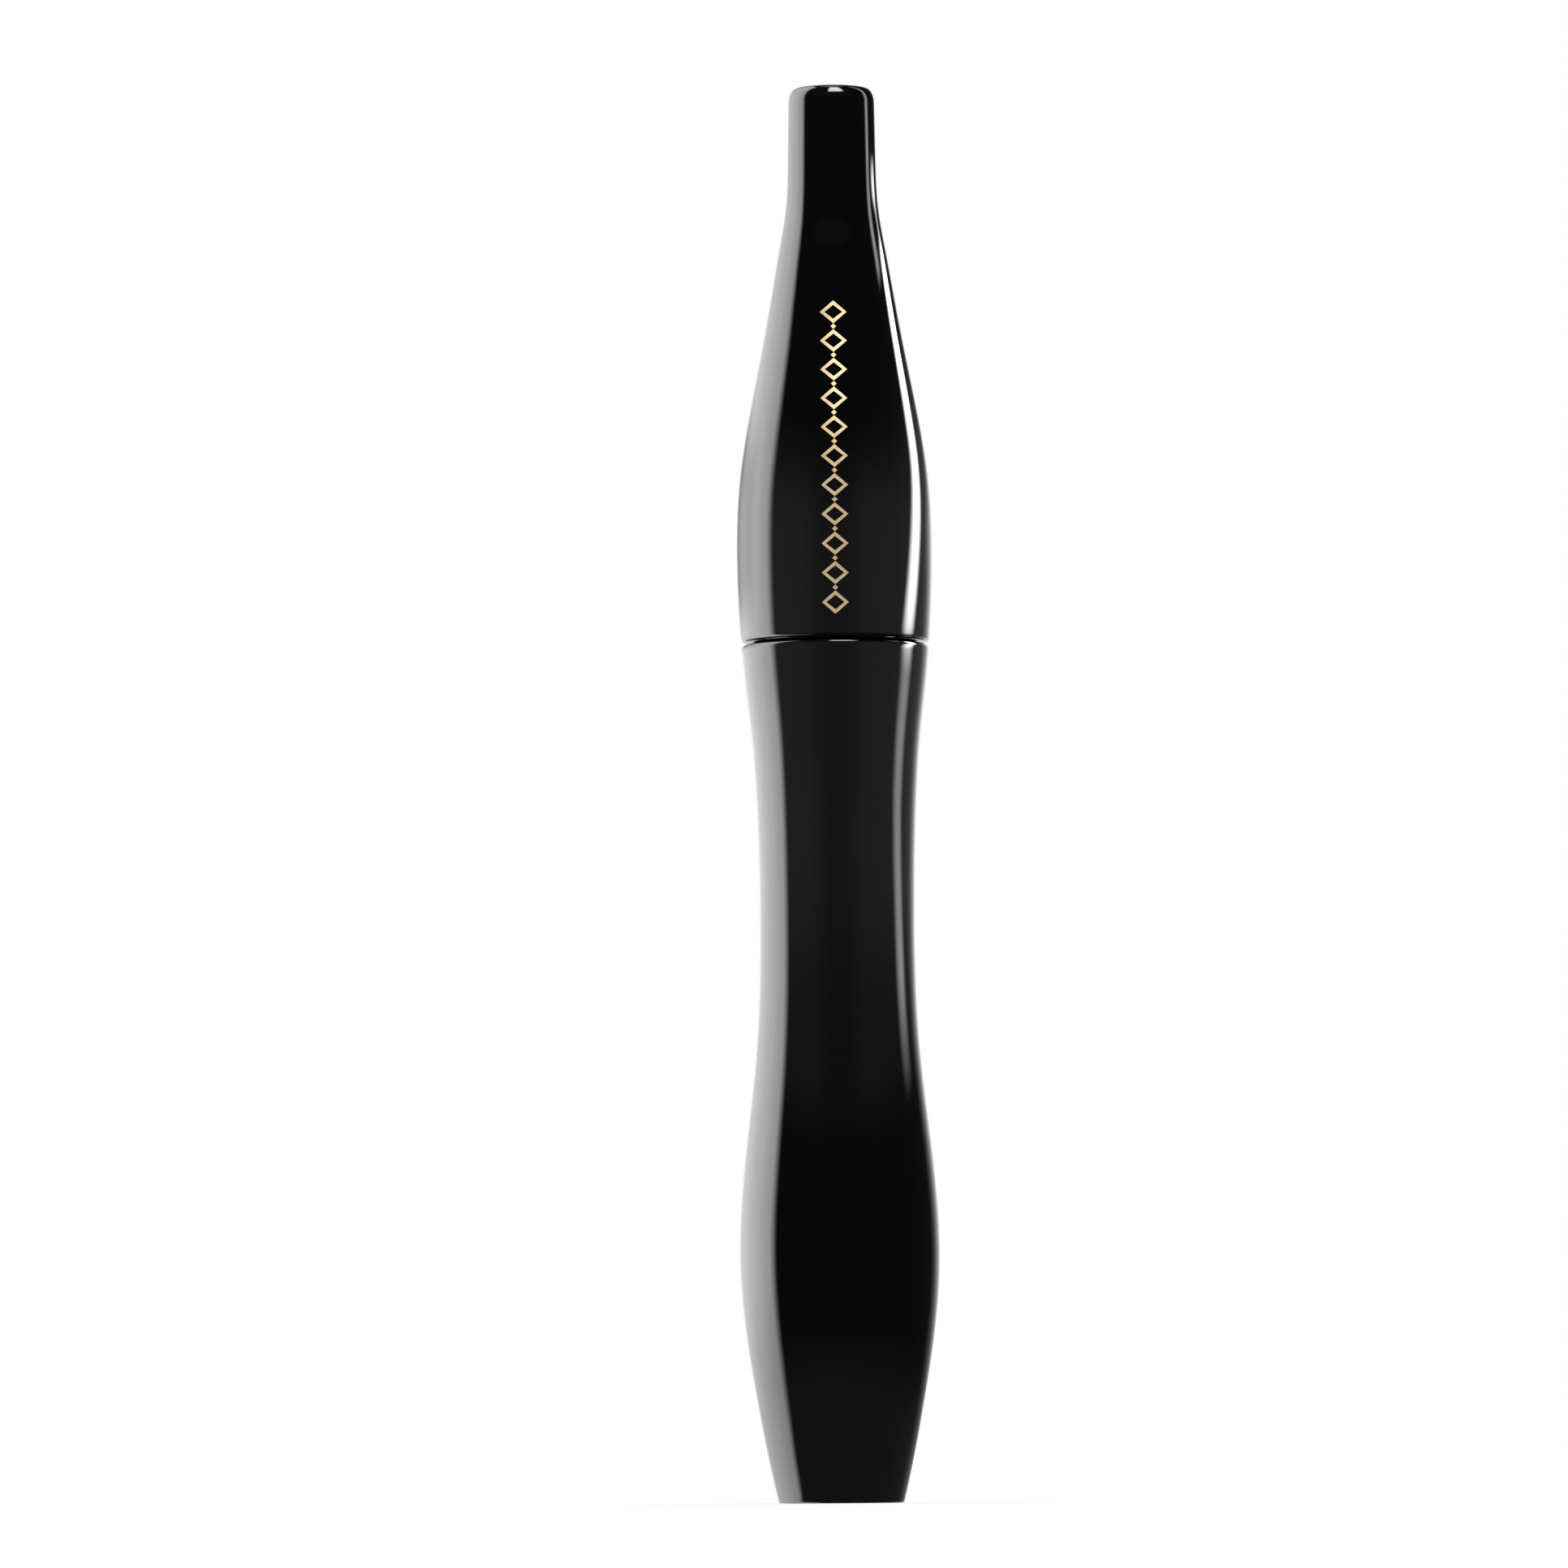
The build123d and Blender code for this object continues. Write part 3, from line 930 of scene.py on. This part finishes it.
def makeFloor():
    mesh = bpy.data.meshes.new("paleFloor")
    half = floor["half"]
    level = -floor["below"] * mm
    corners = [(-half, -half, level), (half, -half, level), (half, half, level), (-half, half, level)]
    mesh.from_pydata(corners, [], [(0, 1, 2, 3)])
    material, g = newFinish("paleFloorPaper")
    path = g.node("ShaderNodeLightPath", give="Is Glossy Ray")
    drift = g.cloud(g.place(), 0.01)
    paper = g.node("ShaderNodeBsdfDiffuse", None, {"Color": g.tint(drift, floor["pale"], floor["deep"])})
    lit = g.node("ShaderNodeEmission", None, {"Strength": floor["lit"]})
    swept = g.node("ShaderNodeMixShader", None, {0: floor["share"], 1: paper, 2: lit})
    unseen = g.node("ShaderNodeBsdfTransparent")
    shown = g.node("ShaderNodeMixShader", None, {0: path, 1: swept, 2: unseen})
    g.node("ShaderNodeOutputMaterial", None, {"Surface": shown})
    mesh.materials.append(material)
    made = bpy.data.objects.new("paleFloor", mesh)
    bpy.context.scene.collection.objects.link(made)


makeFloor()


# studio: white all round for the eye, dark for the gloss, with soft boxes on a drum close round
# the tube that only the gloss sees. Azimuth 0 is in front and 90 to the right, in degrees;
# heights are in mm; brightness 1 is the white of the backdrop.

drum = {
    "radius": 60.0, "low": -160.0, "high": 150.0, "wings": 260.0, "open": 55.0, "steps": 128,
    "left": {
        "edge": (-71.5, -84.0), "bright": 5.7, "fade": (-102.0, -148.0), "rear": 1.7,
        "foot": (24.0, -4.0, 0.28), "cap": (84.0, 94.0, 1.2), "tip": (108.0, 122.0), "dip": (-98.0, -114.0),
    },
    "strip": {
        "middle": 93.0, "half": 13.0,
        "lean": ((84.0, 114.0), 22.0), "bend": ((114.0, 138.0), 12.5), "curl": ((68.0, 50.0), 12.0),
        "bright": 20.0, "base": 3.4,
        "step": (76.0, 90.0), "bottom": (48.0, 56.0), "lift": (116.0, 130.0, 12.0),
        "fall": (133.5, 139.5), "second": (104.0, 9.0, 136.0, 139.0, 4.0),
    },
    "rear": {
        "edge": (120.0, 160.0), "bright": 1.6, "cap": (98.0, 116.0, 26.0),
        "step": (70.0, 80.0, 0.25), "foot": (0.0, 30.0, 0.75),
    },
    "wall": {"edge": (150.0, 172.0), "bright": 0.95},
    "glow": {
        "dark": 0.03, "bright": 0.24, "rise": (46.0, 64.0), "fall": (96.0, 132.0), "foot": (8.0, -8.0, 0.08),
        "middle": (8.0, 40.0, 0.5),
    },
}
crest = {"sides": (-14.0, -4.0, 30.0, 42.0), "rows": (36.0, 42.0, 66.0, 78.0), "bright": 17.0}
backdrop = {"seen": 1.0, "fill": 1.16, "dark": 0.06, "top": (1.6, 70.0, 84.0)}


def addGlow(g, strength):
    return g.node("ShaderNodeEmission", None, {"Color": (1, 1, 1, 1), "Strength": strength})


def makeDrum():
    d = drum
    shape = bmesh.new()
    rings = []
    for height in (d["low"], d["high"], d["wings"]):
        ring = []
        for k in range(d["steps"]):
            ring.append(shape.verts.new(spot(d["radius"], math.tau * k / d["steps"], height)))
        rings.append(ring)
    for k in range(d["steps"]):
        after = (k + 1) % d["steps"]
        shape.faces.new((rings[0][k], rings[0][after], rings[1][after], rings[1][k]))
        aside = abs(360.0 * (k + 0.5) / d["steps"] - 270.0)
        if aside > d["open"]:
            shape.faces.new((rings[1][k], rings[1][after], rings[2][after], rings[2][k]))
    mesh = bpy.data.meshes.new("lightDrum")
    shape.to_mesh(mesh)
    shape.free()

    material, g = newFinish("lightDrumGlow")
    across, depth, height, distance = g.parts(g.place())
    turn = across.work("ARCTAN2", across, depth * -1.0) * math.degrees(1)

    left = d["left"]
    reach = left["bright"] - g.slide(turn, left["fade"], left["bright"] - left["rear"])
    dip = g.rise(height, *left["cap"]) * (1.0 - g.rise(height, *left["tip"])) * g.rise(turn, *left["dip"])
    reach = reach - dip
    leftBox = g.rise(turn, *left["edge"]) * reach * (1.0 - g.rise(height, *left["foot"]))

    strip = d["strip"]
    middle = strip["middle"]
    for part in ("lean", "bend", "curl"):
        middle = middle + g.slide(height, *strip[part])
    aside = across.work("ABSOLUTE", turn - middle) * (1.0 / strip["half"])
    profile = g.rise(aside, 1.0, 0.1)
    bright = g.rise(height, *strip["bottom"], strip["base"])
    bright = bright + g.rise(height, *strip["step"], strip["bright"] - strip["base"])
    bright = bright + g.rise(height, *strip["lift"])
    bright = bright * (1.0 - g.rise(height, *strip["fall"]))
    second = strip["second"]
    beside = across.work("ABSOLUTE", turn - second[0])
    stripBox = profile * bright + g.rise(beside, second[1], 0.0) * g.rise(height, *second[2:])

    rear = d["rear"]
    rearBox = g.rise(turn - g.rise(height, *rear["cap"]), *rear["edge"], rear["bright"])
    for part in ("step", "foot"):
        rearBox = rearBox * (1.0 - rear[part][2] + g.rise(height, *rear[part]))

    glow = d["glow"]
    away = across.work("ABSOLUTE", turn)
    low, high, share = glow["middle"]
    ambient = g.rise(height, *glow["rise"], glow["bright"]) * (1.0 - g.rise(height, *glow["fall"]))
    ambient = ambient * (1.0 - share + g.rise(away, low, high, share))
    ambient = ambient + g.rise(height, *glow["foot"]) + glow["dark"]
    wall = d["wall"]
    behind = g.rise(away, *wall["edge"])
    boxes = leftBox + rearBox + stripBox + ambient
    lit = addGlow(g, boxes * (1.0 - behind) + behind * wall["bright"])
    g.node("ShaderNodeOutputMaterial", None, {"Surface": lit})
    mesh.materials.append(material)
    made = bpy.data.objects.new("lightDrum", mesh)
    bpy.context.scene.collection.objects.link(made)
    for ray in ("camera", "diffuse", "transmission", "volume_scatter", "shadow"):
        setattr(made, "visible_" + ray, False)


def makeStudio():
    world = bpy.data.worlds.new("studio")
    bpy.context.scene.world = world
    world.use_nodes = True
    g = Graph(world.node_tree)
    here = g.node("ShaderNodeTexCoord", give="Generated")
    x = g.node("ShaderNodeSeparateXYZ", None, {0: here})
    turn = x.work("ARCTAN2", x, x.other("Y") * -1.0) * math.degrees(1)
    lift = x.work("ARCSINE", x.other("Z")) * math.degrees(1)
    sides = crest["sides"]
    rows = crest["rows"]
    crestBox = g.rise(turn, sides[0], sides[1]) * g.rise(turn, sides[3], sides[2]) * crest["bright"]
    crestBox = crestBox * g.rise(lift, rows[0], rows[1]) * g.rise(lift, rows[3], rows[2])
    above = g.rise(lift, *backdrop["top"][1:], backdrop["top"][0])
    gloss = backdrop["dark"] + crestBox + above
    path = g.node("ShaderNodeLightPath", give="Is Camera Ray")
    mirrored = path.other("Is Glossy Ray")
    plain = backdrop["fill"] - path * (backdrop["fill"] - backdrop["seen"])
    strength = plain * (1.0 - mirrored) + gloss * mirrored
    light = g.node("ShaderNodeBackground", None, {"Color": (1, 1, 1, 1), "Strength": strength})
    g.node("ShaderNodeOutputWorld", None, {"Surface": light})


makeDrum()
makeStudio()
bpy.context.scene.view_settings.view_transform = "Standard"


# camera, low and far off, tilted up a little, rolled so that the tube leans as it stands in the frame

shot = {"lens": 245.35, "eye": (-5.1, -1039.0, 5.0), "aim": (-5.1, 0.0, 69.93), "roll": 0.41}


def makeCamera():
    data = bpy.data.cameras.new("shot")
    data.lens = shot["lens"]
    data.clip_start = 0.01
    eye = Vector(shot["eye"]) * mm
    ahead = (Vector(shot["aim"]) * mm - eye).normalized()
    right = ahead.cross(Vector((0, 0, 1))).normalized()
    up = right.cross(ahead)
    roll = math.radians(shot["roll"])
    rolledUp = up * math.cos(roll) + right * math.sin(roll)
    rolledRight = ahead.cross(rolledUp)
    turned = Matrix((rolledRight, rolledUp, -ahead)).transposed().to_4x4()
    camera = bpy.data.objects.new("shot", data)
    camera.matrix_world = Matrix.Translation(eye) @ turned
    bpy.context.scene.collection.objects.link(camera)
    bpy.context.scene.camera = camera


makeCamera()
print("studio and camera set")
